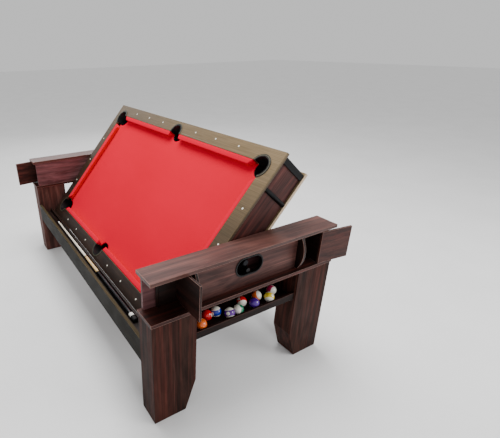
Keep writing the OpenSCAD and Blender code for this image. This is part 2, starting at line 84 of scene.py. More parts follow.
# ---------------------------------------------------------------- node materials
class Look:
    """A node material under construction."""

    def __init__(self, name):
        self.mat = bpy.data.materials.new(name)
        self.mat.use_nodes = True
        self.tree = self.mat.node_tree
        self.bsdf = self.tree.nodes["Principled BSDF"]

    def add(self, kind, inputs=None, **props):
        node = self.tree.nodes.new("ShaderNode" + kind)
        for key, value in props.items():
            setattr(node, key, value)
        for key, value in (inputs or {}).items():
            self.put(node, key, value)
        return node

    def put(self, node, key, value):
        if isinstance(value, bpy.types.NodeSocket):
            self.tree.links.new(value, node.inputs[key])
        else:
            node.inputs[key].default_value = value

    def math(self, op, a, b=0.0):
        node = self.add("Math", {0: a, 1: b}, operation=op)
        return node.outputs[0]

    def total(self, a, b):
        return self.math("ADD", a, b)

    def times(self, a, b):
        return self.math("MULTIPLY", a, b)

    def distance(self, a, b):
        """How far a is from b along one direction."""
        return self.math("ABSOLUTE", self.math("SUBTRACT", a, b))

    def radius(self, a, b):
        """The length of the flat vector (a, b)."""
        return self.math("SQRT", self.total(self.times(a, a), self.times(b, b)))

    def mix(self, factor, a, b):
        node = self.add("Mix", data_type="RGBA")
        self.put(node, 0, factor)
        self.put(node, 6, a)
        self.put(node, 7, b)
        return node.outputs[2]

    def ramp(self, value, stops):
        node = self.add("ValToRGB")
        points = node.color_ramp.elements
        while len(points) < len(stops):
            points.new(0.5)
        for point, (place, colour) in zip(points, stops):
            point.position = place
            point.color = colour
        self.put(node, 0, value)
        return node.outputs[0]

    def grey(self, value, low, high, to_low=0.0, to_high=1.0):
        node = self.add("MapRange", {"Value": value, "From Min": low, "From Max": high,
                                     "To Min": to_low, "To Max": to_high})
        node.clamp = True
        return node.outputs[0]

    def place(self, panel=False):
        """Object coordinates, or the play panel's own u, v, w."""
        out = self.add("TexCoord").outputs["Object"]
        if panel:
            moved = self.add("VectorMath", {0: out, 1: (0, 0, AXLE_Z)}, operation="SUBTRACT").outputs[0]
            out = self.add("Mapping", {"Vector": moved, "Rotation": (0, TILT, 0)}).outputs[0]
        return out

    def stretched(self, vector, scale, shift=(0, 0, 0)):
        return self.add("Mapping", {"Vector": vector, "Scale": scale, "Location": shift}).outputs[0]

    def noise(self, vector, scale, detail=3.0, rough=0.5, distort=0.0):
        node = self.add("TexNoise", {"Vector": vector, "Scale": scale, "Detail": detail,
                                     "Roughness": rough, "Distortion": distort})
        return node.outputs["Fac"]

    def waves(self, vector, direction, scale, distort, detail, detail_scale, rough=0.5):
        node = self.add("TexWave", {"Vector": vector, "Scale": scale, "Distortion": distort, "Detail": detail,
                                    "Detail Scale": detail_scale, "Detail Roughness": rough},
                        wave_type="BANDS", bands_direction=direction)
        return node.outputs["Fac"]

    def bump(self, height, strength, distance):
        node = self.add("Bump", {"Height": height, "Strength": strength, "Distance": distance})
        return node.outputs[0]

    def set(self, **inputs):
        for key, value in inputs.items():
            self.put(self.bsdf, key.replace("_", " "), value)
        return self.mat


def xyz(look, vector):
    node = look.add("SeparateXYZ", {0: vector})
    return node.outputs[0], node.outputs[1], node.outputs[2]


AXES = {"X": 0, "Y": 1, "Z": 2}


def wood(name, grain, dark, mid, red, seed, panel=False, rough=0.42, red_amount=0.28, over=None, shine=0.18):
    """Printed wood laminate: long figure, fine streaks and pores that run along one axis."""
    look = Look(name)
    at = look.place(panel)
    axis = AXES[grain]

    def along(length, across):
        scale = [across] * 3
        scale[axis] = length
        return look.stretched(at, scale, (seed, seed * 0.7, seed * 1.3))

    figure = look.noise(along(1.6, 9.5), 1.0, 4.0, 0.58, 2.2)
    bands = look.waves(along(0.9, 15), "DIAGONAL", 1.0, 6.5, 3.0, 0.9, 0.6)
    streaks = look.noise(along(3.0, 210), 1.0, 3.0, 0.62, 0.3)
    wide = look.noise(along(0.8, 46), 1.0, 2.0, 0.5, 0.6)
    base = look.mix(look.grey(figure, 0.36, 0.68), dark, mid)
    base = look.mix(look.times(look.grey(wide, 0.44, 0.72), red_amount), base, red)
    base = look.mix(look.grey(bands, 0.55, 0.95, 0.0, 0.34), base, dark)
    dark_line = look.grey(streaks, 0.42, 0.66, 0.36, 0.0)
    base = look.mix(dark_line, base, tinted(dark, 0.35, 0.35, 0.4))
    light_line = look.grey(streaks, 0.62, 0.78, 0.0, 0.22)
    base = look.mix(light_line, base, tinted(red, 1.5, 1.6, 1.6))
    if over is not None:
        base = over(look, at, base)
    pores = look.noise(along(16, 900), 1.0, 2.0, 0.6)
    height = look.total(look.times(pores, 0.6), look.times(streaks, 0.5))
    smudge = look.noise(at, 6.0, 3.0, 0.6)
    roughness = look.total(look.grey(smudge, 0.3, 0.7, rough - 0.05, rough + 0.07),
                           look.times(look.grey(pores, 0.3, 0.7), 0.06))
    return look.set(Base_Color=base, Roughness=roughness, Normal=look.bump(height, 0.22, 0.0006),
                    Specular_IOR_Level=shine)


def edge_band_and_highlight(name, colour, panel=False):
    """A thin edge band with a painted highlight on the arris: lighter than the face and slightly mottled."""
    look = Look(name)
    at = look.place(panel)
    spots = look.noise(at, 90.0, 4.0, 0.65)
    base = look.mix(look.grey(spots, 0.35, 0.7), tinted(colour, 0.55, 0.5, 0.5), colour)
    return look.set(Base_Color=base, Roughness=look.grey(spots, 0.3, 0.7, 0.34, 0.5),
                    Normal=look.bump(spots, 0.15, 0.0004), Specular_IOR_Level=0.25)


def plastic(name, colour, rough=0.42, grain_scale=900.0, bump=0.12, panel=False, over=None, shine=0.3):
    """Moulded plastic with a fine spark texture, faint scuffs and dust."""
    look = Look(name)
    at = look.place(panel)
    fine = look.noise(at, grain_scale, 2.0, 0.5)
    cloud = look.noise(at, 14.0, 4.0, 0.6)
    scuff = look.noise(look.stretched(at, (30, 400, 60)), 1.0, 3.0, 0.7)
    lighter = tuple(min(1, c * 1.9 + 0.006) for c in colour[:3]) + (1,)
    base = look.mix(look.grey(cloud, 0.45, 0.8, 0.0, 0.5), colour, lighter)
    base = look.mix(look.grey(scuff, 0.66, 0.8, 0.0, 0.25), base, lighter)
    if over is not None:
        base = over(look, at, base)
    return look.set(Base_Color=base, Roughness=look.grey(cloud, 0.3, 0.7, rough - 0.07, rough + 0.1),
                    Normal=look.bump(fine, bump, 0.0004), Specular_IOR_Level=shine)


def metal(name, colour, rough=0.3):
    """Machined metal with a fine lay along Y and faint stains."""
    look = Look(name)
    at = look.place()
    lay = look.noise(look.stretched(at, (600, 40, 600)), 1.0, 3.0, 0.6)
    stain = look.noise(at, 22.0, 4.0, 0.6)
    base = look.mix(look.grey(stain, 0.4, 0.75, 0.0, 0.55), colour, tinted(colour, 0.6))
    roughness = look.total(look.grey(stain, 0.3, 0.7, rough - 0.05, rough + 0.1), look.times(lay, 0.08))
    return look.set(Base_Color=base, Metallic=1.0, Roughness=roughness, Normal=look.bump(lay, 0.12, 0.0003))


def cloth(name, colour, shade):
    """Napped wool cloth: crossed threads under a short fuzzy nap, faint brushing marks."""
    look = Look(name)
    at = look.place(panel=True)
    warp, weft = (look.waves(at, direction, 320.0, 1.2, 2.0, 2.0) for direction in "XY")
    weave = look.times(warp, weft)
    nap = look.noise(at, 1500.0, 3.0, 0.7)
    cloud = look.noise(look.stretched(at, (2.2, 1.1, 2.2)), 1.0, 3.0, 0.5)
    lint = look.noise(at, 420.0, 2.0, 0.8)
    base = look.mix(look.grey(cloud, 0.3, 0.75), shade, colour)
    base = look.mix(look.grey(nap, 0.3, 0.7, 0.16, 0.0), base, tinted(shade, 0.6))
    base = look.mix(look.grey(lint, 0.74, 0.84, 0.0, 0.05), base, rgb(255, 70, 80))
    height = look.total(look.times(weave, 0.5), nap)
    look.set(Base_Color=base, Roughness=look.grey(nap, 0.2, 0.8, 0.82, 0.96), Specular_IOR_Level=0.02,
             Normal=look.bump(height, 0.35, 0.0006))
    return look.set(Sheen_Weight=0.012, Sheen_Roughness=0.45, Sheen_Tint=rgb(255, 40, 50))


# ---------------------------------------------------------------- CAD nodes: bevels and materials
def weld_and_bevel(obj, width, edge_material=None, segments=2):
    """Softens the arrises. The bevel's faces can take a second material, as an edge band and painted
    highlight line.
    """
    weld = obj.modifiers.new("weld", "WELD")
    weld.merge_threshold = 0.00002
    bevel = obj.modifiers.new("arris", "BEVEL")
    bevel.width = width
    bevel.segments = segments
    bevel.limit_method = "ANGLE"
    bevel.angle_limit = math.radians(40)
    bevel.harden_normals = False
    if edge_material is not None:
        obj.data.materials.append(edge_material)
        bevel.material = len(obj.data.materials) - 1


def dress(node, material, bevel=0.0, edge=None, segments=2):
    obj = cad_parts[node]
    obj.data.materials.clear()
    obj.data.materials.append(material)
    if bevel:
        weld_and_bevel(obj, bevel, edge, segments)
    return obj


def dress_all(nodes, material, bevel, edge):
    for node in nodes:
        dress(node, material, bevel, edge)


# Lighter bevel colours: edge bands with painted highlight lines on the arrises.
edge_tan = edge_band_and_highlight("edge_tan", rgb(150, 112, 100))
edge_brown = edge_band_and_highlight("edge_brown", rgb(104, 72, 64))
edge_cream = edge_band_and_highlight("edge_cream", rgb(206, 186, 158), panel=True)
edge_olive = edge_band_and_highlight("edge_olive", rgb(120, 104, 74), panel=True)

DARK, MID, RED = rgb(26, 13, 10), rgb(62, 33, 27), rgb(122, 48, 38)
DEEP, DEEP_MID = rgb(14, 8, 6), rgb(34, 19, 15)

# The legs are one laminate in two copies: the far legs' copy is painted lighter, as painted light.
leg_near = wood("laminate_leg_near", "Z", rgb(32, 19, 15), rgb(68, 43, 36), rgb(124, 58, 48), 3.1,
                red_amount=0.34, rough=0.5, shine=0.06)
leg_far = wood("laminate_leg_far_painted_light", "Z", rgb(58, 38, 34), rgb(116, 78, 70), rgb(158, 92, 82), 11.7,
               red_amount=0.34, rough=0.5, shine=0.06)
dress_all(("leg_near_left", "leg_near_right"), leg_near, 0.0011, edge_brown)
dress_all(("leg_far_left", "leg_far_right"), leg_far, 0.0011, edge_brown)

top_look = wood("laminate_top", "X", rgb(62, 36, 32), rgb(102, 67, 60), rgb(132, 82, 72), 21.3,
                rough=0.34, red_amount=0.4, shine=0.28)
board_look = wood("laminate_boards", "X", DARK, rgb(66, 38, 32), RED, 5.3, red_amount=0.4)
panel_look = wood("laminate_centre", "X", rgb(56, 34, 31), rgb(104, 68, 62), rgb(134, 80, 72), 8.8)
apron_look = wood("laminate_apron", "X", rgb(78, 50, 50), rgb(134, 90, 92), rgb(168, 104, 104), 17.1,
                  red_amount=0.34)
divider_look = wood("laminate_divider", "Z", DEEP, DEEP_MID, MID, 2.2, red_amount=0.3)
dress_all(("top_board_near", "top_board_far"), top_look, 0.0016, edge_tan)
dress_all(("ledge_board_near", "ledge_board_far"), board_look, 0.0014, edge_tan)
dress_all(("centre_panel_near", "centre_panel_far"), panel_look, 0.0009, edge_brown)
dress("inner_aprons", apron_look, 0.0012, edge_brown)
dress("divider_boards", divider_look, 0.0018, edge_tan)

# The door laminate in two copies: the Y-grain copy on the doors standing in the compartments is painted
# darker, as painted shade.
door_x = wood("laminate_door_x", "X", rgb(38, 18, 15), rgb(78, 44, 38), rgb(120, 58, 49), 31.0,
              red_amount=0.36)
shaded_door_y = wood("laminate_door_y", "Y", DEEP, rgb(50, 28, 23), rgb(92, 42, 34), 37.0, red_amount=0.4)
web_x = wood("laminate_web_x", "X", DARK, DEEP_MID, MID, 41.0, red_amount=0.3)
web_y = wood("laminate_web_y", "Y", DEEP, DEEP_MID, MID, 43.0, red_amount=0.3)
dress_all(("door_face_near_right", "door_face_far_left"), door_x, 0.0012, edge_tan)
dress_all(("door_face_near_left", "door_face_far_right"), shaded_door_y, 0.0012, edge_tan)
dress_all(("door_web_near_right", "door_web_far_left"), web_y, 0.0009, edge_brown)
dress_all(("door_web_near_left", "door_web_far_right"), web_x, 0.0009, edge_brown)


def painted_top_sheen(look, at, base):
    """Painted sheen: the top face of a side rail is painted a lighter olive than its side faces, as if lit
    from above.
    """
    z = xyz(look, at)[2]
    speck = look.noise(look.stretched(at, (300, 8, 300)), 1.0, 3.0, 0.6)
    sheen_olive = look.mix(look.grey(speck, 0.3, 0.7), rgb(46, 39, 27), rgb(76, 66, 46))
    skin, fade = 0.0012, 0.0004
    # Painted light on the upward-facing top face.
    return look.mix(look.grey(z, RAIL_TOP - skin, RAIL_TOP - skin + fade), base, sheen_olive)


# The side rail's top face carries a painted sheen.
rail_look = wood("laminate_side_rail", "Y", rgb(15, 13, 8), rgb(30, 26, 17), rgb(46, 36, 24), 13.0,
                 red_amount=0.35, rough=0.5, over=painted_top_sheen, shine=0.05)
for name in ("side_rail_left", "side_rail_right"):
    dress(name, rail_look, 0.0014, edge_band_and_highlight("edge_" + name, rgb(84, 72, 54)))
shelf_look = wood("laminate_shelf", "Y", DEEP, rgb(40, 28, 24), MID, 15.0, red_amount=0.3)
dress("cue_shelves", shelf_look, 0.0008, edge_band_and_highlight("edge_shelf", rgb(52, 40, 32)))
tray_look = wood("laminate_tray", "X", DEEP, rgb(38, 25, 22), MID, 19.0, red_amount=0.3, shine=0.08)
dress_all(("ball_tray_floor", "ball_tray_back", "ball_tray_lip"), tray_look, 0.001, edge_brown)


def painted_rail_sheen(look, at, base):
    """Painted sheen: the dark rail plate is mixed towards a khaki painted reflection along its high side,
    most at the near corner.
    """
    u, v, w = xyz(look, at)
    high = look.grey(u, -0.30, 0.56)
    near = look.grey(v, 0.6, -1.0, 0.42, 1.0)
    sheen_amount = look.times(look.math("POWER", high, 1.35), near)
    sheen_amount = look.times(sheen_amount, look.grey(w, PLATE_BACK, PLATE_FACE))
    streak = look.noise(look.stretched(at, (260, 5, 260)), 1.0, 3.0, 0.6)
    sheen_khaki = look.mix(look.grey(streak, 0.3, 0.7), rgb(108, 90, 60), rgb(142, 120, 88))
    # Painted reflection: the khaki sheen is laid into the laminate's colour.
    return look.mix(look.times(sheen_amount, 0.95), base, sheen_khaki)


def rim_bands_and_sheen(look, at, base):
    """The hockey rim plate has cream edge bands, and a painted khaki sheen on its back face where it
    overhangs the walls.
    """
    u, v, w = xyz(look, at)
    streak = look.noise(look.stretched(at, (60, 60, 400)), 1.0, 3.0, 0.6)
    cream = look.mix(look.grey(streak, 0.3, 0.7), rgb(176, 150, 124), rgb(222, 200, 172))
    sheen_khaki = look.mix(look.grey(streak, 0.3, 0.7), rgb(98, 84, 58), rgb(138, 120, 88))
    skin, fade = 0.0008, 0.0004
    # Painted sheen: the back face is mixed towards khaki as if lit.
    base = look.mix(look.grey(w, HOCKEY_RIM_BACK - fade / 2, HOCKEY_RIM_BACK + fade / 2), base, sheen_khaki)
    side = look.grey(look.math("ABSOLUTE", u), PANEL_HALF_X - skin, PANEL_HALF_X - skin + fade)
    end = look.grey(look.math("ABSOLUTE", v), PANEL_HALF_Y - skin, PANEL_HALF_Y - skin + fade)
    return look.mix(look.math("MAXIMUM", side, end), base, cream)


# The pool rail plate carries a painted khaki sheen along its high side.
plate_look = wood("laminate_pool_rail", "Y", rgb(34, 23, 18), rgb(56, 40, 31), rgb(76, 52, 38), 23.0,
                  panel=True, red_amount=0.3, rough=0.36, over=painted_rail_sheen, shine=0.3)
dress("pool_rail_plate", plate_look, 0.0016, edge_olive)
rim_look = wood("laminate_hockey_rim", "Y", rgb(40, 24, 20), rgb(72, 46, 38), rgb(92, 60, 44), 27.0,
                panel=True, red_amount=0.35, rough=0.36, over=rim_bands_and_sheen)
dress("hockey_rim_plate", rim_look, 0.0018, edge_cream)
end_look = wood("laminate_panel_end", "X", rgb(44, 22, 20), rgb(92, 52, 48), rgb(132, 66, 58), 33.0,
                panel=True, red_amount=0.34, rough=0.4)
dress_all(("end_wall_near", "end_wall_far"), end_look, 0.0006, edge_brown)
side_look = wood("laminate_panel_side", "Y", DARK, MID, RED, 35.0, panel=True, red_amount=0.4)
dress_all(("side_wall_left", "side_wall_right"), side_look, 0.0006, edge_brown)


def particle_board():
    look = Look("bare_board")
    at = look.place()
    chips = look.add("TexVoronoi", {"Vector": at, "Scale": 260.0}).outputs["Distance"]
    base = look.ramp(chips, [(0.0, rgb(120, 88, 58)), (0.5, rgb(168, 132, 92)), (1.0, rgb(196, 162, 120))])
    return look.set(Base_Color=base, Roughness=0.8, Normal=look.bump(chips, 0.3, 0.0005))


dress("bed_board", particle_board())

black = plastic("moulded_black", rgb(22, 22, 24), 0.40)
black_soft = plastic("moulded_black_satin", rgb(8, 8, 9), 0.34, 1300.0, 0.08, shine=0.18)
bar_black = plastic("bar_black", rgb(7, 8, 10), 0.40, 700.0, 0.2, panel=True, shine=0.15)
dress("oval_bezels", black_soft, 0.0022, None, 3)


def pocket_look(name, cu, cv):
    """A black pocket whose flange has a lighter ring: a painted highlight."""

    def painted_ring_highlight(look, at, base):
        u, v = xyz(look, at)[:2]
        du = look.math("SUBTRACT", look.math("ABSOLUTE", u), cu)
        dv = look.math("SUBTRACT", look.math("ABSOLUTE", v), cv)
        off = look.distance(look.radius(du, dv), FLANGE_RING_R)
        patch = look.grey(look.noise(at, 60.0, 3.0, 0.6), 0.3, 0.6, 0.35, 1.0)
        # Painted highlight: a thin olive-grey arc on the flange.
        return look.mix(look.times(look.grey(off, 0.0036, 0.0022), patch), base, rgb(88, 84, 66))

    return plastic(name, rgb(14, 14, 15), 0.40, panel=True, over=painted_ring_highlight)


dress("corner_pockets", pocket_look("pocket_black_corner", *CORNER), 0.0012, None, 3)
dress("side_pockets", pocket_look("pocket_black_side", *SIDE), 0.0012, None, 3)
dress("corner_bars", bar_black, 0.003, None, 3)
dress("grip_bars", bar_black, 0.004, None, 4)
dress("puck_wall", plastic("puck_wall_plastic", rgb(34, 34, 36), 0.38), 0.001)
dress("goal_boxes", black, 0.001)
dress("blower_housing", black, 0.001)
dress("power_inlet", black_soft, 0.0005)
dress("lock_plunger_near", black_soft, 0.0018, None, 3)
dress("lock_plunger_far", black_soft, 0.0018, None, 3)
dress("leveler_feet", plastic("foot_rubber", rgb(30, 30, 30), 0.7), 0.0008)

steel = metal("turned_steel", rgb(176, 178, 182), 0.30)
dark_steel = metal("blackened_steel", rgb(44, 44, 47), 0.34)
dress("pivot_bearings", dark_steel, 0.0008)
dress("lock_guides", dark_steel, 0.0008)
dress("door_hinge_rods", steel, 0.0004)
dress("rail_bolts", metal("zinc_plate", rgb(168, 166, 158), 0.36), 0.0008)
dress("axle_stubs", dark_steel, 0.001)
dress("blower_impeller", metal("impeller_steel", rgb(150, 152, 156), 0.4), 0.0005)


def pearl():
    """Rail sights with the cloudy bands of imitation mother of pearl."""
    look = Look("pearl_plastic")
    at = look.place()
    cloud = look.noise(at, 320.0, 3.0, 0.6, 1.5)
    base = look.ramp(cloud, [(0.3, rgb(214, 208, 188)), (0.5, rgb(246, 242, 228)),
                             (0.75, rgb(255, 252, 244))])
    return look.set(Base_Color=base, Roughness=look.grey(cloud, 0.3, 0.7, 0.16, 0.26), Coat_Weight=0.4,
                    Normal=look.bump(cloud, 0.05, 0.0003))


dress("rail_sights", pearl(), 0.0003)


def hockey_sheet():
    """White playing sheet with the printed lines of a hockey field and its grid of air holes."""
    look = Look("hockey_sheet")
    at = look.place(panel=True)
    u, v = xyz(look, at)[:2]
    cloud = look.noise(at, 5.0, 3.0, 0.5)
    base = look.mix(look.grey(cloud, 0.3, 0.7), rgb(232, 234, 236), rgb(246, 247, 248))
    red, blue = rgb(200, 38, 52), rgb(44, 52, 116)
    soft = 0.0004
    outer_r, inner_r, circle_line = 0.135, 0.105, 0.008
    spot_u, spot_v, spot_r, spot_line, dot = 0.27, 0.62, 0.088, 0.006, 0.02
    zone_v, zone_line, middle_line = 0.31, 0.008, 0.007
    dash_pitch, dash_shift, dash_soft = 0.03, 0.02, 0.0004
    hole_pitch, hole_r, hole_soft = 0.0127, 0.0008, 0.0003

    def stroke(off, width):
        return look.grey(off, width / 2 + soft, width / 2 - soft)

    def ring(cu, cv, radius, width):
        du = look.math("SUBTRACT", u, cu)
        dv = look.math("SUBTRACT", v, cv)
        return stroke(look.distance(look.radius(du, dv), radius), width)

    def band(middle, width):
        return stroke(look.distance(v, middle), width)

    def either(a, b):
        return look.math("MAXIMUM", a, b)

    reds = either(ring(0, 0, outer_r, circle_line), ring(0, 0, inner_r, circle_line))
    for cu in (-spot_u, spot_u):
        for cv in (-spot_v, spot_v):
            reds = either(reds, ring(cu, cv, spot_r, spot_line))
            reds = either(reds, ring(cu, cv, 0.0, dot))
    along = look.math("PINGPONG", look.total(u, dash_shift), dash_pitch)
    dash = look.grey(along, dash_pitch / 2 - dash_soft, dash_pitch / 2 + dash_soft)
    edge_r = outer_r + circle_line / 2
    outside = look.grey(look.math("ABSOLUTE", u), edge_r, edge_r + 0.001)
    reds = either(reds, look.times(look.times(band(0, middle_line), dash), outside))
    blues = either(band(-zone_v, zone_line), band(zone_v, zone_line))
    base = look.mix(blues, base, blue)
    base = look.mix(reds, base, red)
    # The air holes are dark grey dots: painted shade inside each bore, with a bump.
    hole_u, hole_v = (look.math("PINGPONG", value, hole_pitch) for value in (u, v))
    holes = look.grey(look.radius(hole_u, hole_v), hole_r + hole_soft, hole_r)
    base = look.mix(look.times(holes, 0.85), base, rgb(60, 60, 64))
    roughness = look.total(look.grey(cloud, 0.3, 0.7, 0.2, 0.28), look.times(holes, 0.4))
    return look.set(Base_Color=base, Roughness=roughness, Coat_Weight=0.25,
                    Normal=look.bump(look.math("SUBTRACT", 1.0, holes), 0.5, 0.0006))


dress("hockey_surface", hockey_sheet())


# ---------------------------------------------------------------- mesh helpers
def linked(name, data):
    """A new object in the scene."""
    obj = bpy.data.objects.new(name, data)
    bpy.context.scene.collection.objects.link(obj)
    return obj


def new_object(name, verts, faces, materials, body):
    mesh = bpy.data.meshes.new(name)
    mesh.from_pydata([tuple(v) for v in verts], [], faces)
    mesh.update()
    obj = linked(name, mesh)
    for material in materials:
        mesh.materials.append(material)
    for face in mesh.polygons:
        face.use_smooth = True
    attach(obj, body)
    return obj


def recalc(obj):
    bm = bmesh.new()
    bm.from_mesh(obj.data)
    bmesh.ops.recalc_face_normals(bm, faces=bm.faces)
    bm.to_mesh(obj.data)
    bm.free()


def lathe(name, profile, marks, steps, matrix, materials, body):
    """A turned piece about local Z: (radius, height) from the bottom up, with each ring's material."""
    verts, faces, kinds = [], [], []
    for r, h in profile:
        for k in range(steps):
            a = 2 * math.pi * k / steps
            verts.append(matrix @ Vector((r * math.cos(a), r * math.sin(a), h)))
    for i in range(len(profile) - 1):
        for k in range(steps):
            n = (k + 1) % steps
            faces.append((i * steps + k, i * steps + n, (i + 1) * steps + n, (i + 1) * steps + k))
            kinds.append(marks[i])
    faces.append(tuple(range(steps - 1, -1, -1)))
    kinds.append(marks[0])
    last = (len(profile) - 1) * steps
    faces.append(tuple(range(last, last + steps)))
    kinds.append(marks[-1])
    obj = new_object(name, verts, faces, materials, body)
    for face, kind in zip(obj.data.polygons, kinds):
        face.material_index = kind
    return obj


# ---------------------------------------------------------------- felt
def pocket_centres():
    for su in (-1, 1):
        for sv in (-1, 1):
            yield su * CORNER[0], sv * CORNER[1], POCKET_R + CUP_WALL
        yield su * SIDE[0], SIDE[1], SIDE_R + CUP_WALL


def make_felt():
    """The bed cloth: one stretched sheet with its pocket cuts, on the bed board."""
    step, sunk, ripple = 0.008, 0.0006, 0.00025
    nu, nv = round(2 * POOL_X / step), round(2 * POOL_Y / step)
    holes = list(pocket_centres())
    grid, verts, faces = {}, [], []
    for i in range(nu + 1):
        for j in range(nv + 1):
            u, v = -POOL_X + 2 * POOL_X * i / nu, -POOL_Y + 2 * POOL_Y * j / nv
            for cu, cv, r in holes:
                d = math.hypot(u - cu, v - cv)
                if 1e-6 < d and abs(d - r) < step * 0.71:
                    u, v = cu + (u - cu) * r / d, cv + (v - cv) * r / d
            u, v = max(-POOL_X, min(POOL_X, u)), max(-POOL_Y, min(POOL_Y, v))
            lift = ripple * noise.noise(Vector((u * 7, v * 7, 3.1)))
            grid[i, j] = len(verts)
            verts.append((u, v, FELT_TOP - sunk + lift))
    for i in range(nu):
        for j in range(nv):
            quad = [grid[i, j], grid[i + 1, j], grid[i + 1, j + 1], grid[i, j + 1]]
            mu = sum(verts[q][0] for q in quad) / 4
            mv = sum(verts[q][1] for q in quad) / 4
            if any(math.hypot(mu - cu, mv - cv) < r - 0.0004 for cu, cv, r in holes):
                continue
            faces.append(quad)
    placed = [PANEL @ Vector(v) for v in verts]
    felt = new_object("felt_bed_cloth", placed, faces, [felt_look], "play_panel")
    bm = bmesh.new()
    bm.from_mesh(felt.data)
    loose = [v for v in bm.verts if not v.link_faces]
    bmesh.ops.delete(bm, geom=loose, context="VERTS")
    bm.to_mesh(felt.data)
    bm.free()
    thick = felt.modifiers.new("thickness", "SOLIDIFY")
    thick.thickness = FELT_THICK
    thick.offset = -1
    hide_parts("felt_cloth")


felt_look = cloth("felt_red", (0.74, 0.0010, 0.030, 1), (0.66, 0.0008, 0.024, 1))
cushion_look = cloth("cushion_red", (0.76, 0.0020, 0.036, 1), (0.66, 0.0012, 0.028, 1))
make_felt()


# ---------------------------------------------------------------- cushions
def cushion_section():
    """(Distance in from the rail, height), from the bed at the rail round the nose and back over the top."""
    low, top = FELT_TOP + 0.0003, HALF_T - 0.0004
    under = [(0.0003, low), (0.007, low), (0.0135, low + 0.0004), (0.0165, low + 0.004),
             (0.0205, low + 0.011), (0.0245, low + 0.0185), (0.0282, low + 0.0255), (0.0305, low + 0.0295)]
    nose = [(0.0316, low + 0.0318), (0.0319, low + 0.0338), (0.0313, low + 0.0356), (0.0295, low + 0.0369)]
    over = [(0.0262, low + 0.0378), (0.0215, low + 0.0389), (0.0165, low + 0.0399), (0.0115, low + 0.0406),
            (0.0072, top), (0.0042, top - 0.0002), (0.0022, top - 0.0012), (0.0004, top - 0.0032)]
    return under + nose + over


def make_cushion(name, matrix, v0, v1, cut0, cut1, seed):
    """A cloth-covered rubber cushion. Its ends are cut back and the cloth is folded round them."""
    section = cushion_section()
    centre = (0.013, (FELT_TOP + HALF_T) / 2 + 0.003)
    length = v1 - v0
    fold = [(0.0, 0.80), (0.0006, 0.90), (0.002, 0.962), (0.0045, 0.99), (0.009, 1.0), (0.02, 1.0)]
    folded = fold[-1][0]
    middle = max(6, round(length / 0.03))
    stations = list(fold)
    stations += [(folded + (length - 2 * folded) * k / middle, 1.0) for k in range(1, middle)]
    stations += [(length - t, s) for t, s in reversed(fold)]
    verts, faces = [], []
    count = len(section)
    for t, s in stations:
        part = t / length
        for x, h in section:
            far = 1 - x / NOSE
            v = v0 + length * part - cut0 * far * (1 - part) + cut1 * far * part
            ripple = abs(0.00022 * noise.noise(Vector((v * 26 + seed, x * 60, h * 60))))
            px, ph = centre[0] + (x - centre[0]) * s, centre[1] + (h - centre[1]) * s
            if 0.004 < px:
                px -= ripple
            verts.append(matrix @ Vector((-px, v, min(ph, HALF_T - 0.0003) - ripple * 0.6)))
    for i in range(len(stations) - 1):
        for k in range(count):
            n = (k + 1) % count
            faces.append((i * count + k, i * count + n, (i + 1) * count + n, (i + 1) * count + k))
    faces.append(tuple(range(count - 1, -1, -1)))
    last = (len(stations) - 1) * count
    faces.append(tuple(range(last, last + count)))
    obj = new_object(name, verts, faces, [cushion_look], "play_panel")
    recalc(obj)
    return obj


CORNER_MOUTH, SIDE_MOUTH = 0.085, 0.065
LONG_END, SHORT_END = NOSE_Y - CORNER_MOUTH, NOSE_X - CORNER_MOUTH
CORNER_CUT, SIDE_CUT = 0.026, 0.009
for side, node in ((1, "cushions_right"), (-1, "cushions_left")):
    made = []
    for end, word in ((-1, "near"), (1, "far")):
        flip = Matrix.Diagonal((side, end, 1, 1))
        place = PANEL @ flip @ Matrix.Translation((POOL_X, 0, 0))
        seed = side * 3 + end
        made.append(make_cushion(f"{node}_{word}_piece", place, SIDE_MOUTH, LONG_END, SIDE_CUT, CORNER_CUT,
                                 seed))
    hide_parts(node)
for end, node in ((-1, "cushion_near"), (1, "cushion_far")):
    flip = Matrix.Diagonal((1, end, 1, 1))
    turn = flip @ Matrix.Translation((0, POOL_Y, 0)) @ Matrix.Rotation(math.pi / 2, 4, "Z")
    made = make_cushion(f"{node}_piece", PANEL @ turn, -SHORT_END, SHORT_END, CORNER_CUT, CORNER_CUT, 9 + end)
    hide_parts(node)


# ---------------------------------------------------------------- balls
def ball_look(name, colour, striped):
    """Cast resin ball: a full colour or a wide stripe on ivory, and two plain number spots."""
    look = Look(name)
    at = look.add("TexCoord").outputs["Object"]
    y, z = xyz(look, at)[1:]
    ivory = rgb(250, 246, 232)
    cloud = look.noise(at, 60.0, 3.0, 0.5)
    scratch = look.noise(look.stretched(at, (2600, 300, 900)), 1.0, 2.0, 0.7)
    paint = look.mix(look.grey(cloud, 0.3, 0.7), tinted(colour, 0.88), colour)
    base = paint
    if striped:
        inside = look.grey(look.math("ABSOLUTE", z), BALL_R * 0.50, BALL_R * 0.49)
        base = look.mix(inside, ivory, paint)
    off_axis = look.radius(y, z)
    spot = look.grey(off_axis, BALL_R * 0.33, BALL_R * 0.32)
    base = look.mix(spot, base, ivory)
    ring = look.grey(look.distance(off_axis, BALL_R * 0.15), 0.0009, 0.0006)
    base = look.mix(look.times(ring, 0.9), base, rgb(20, 20, 24))
    return look.set(Base_Color=base, Roughness=look.grey(scratch, 0.55, 0.8, 0.07, 0.18), Coat_Weight=0.6,
                    Coat_Roughness=0.05, Normal=look.bump(scratch, 0.02, 0.0002))


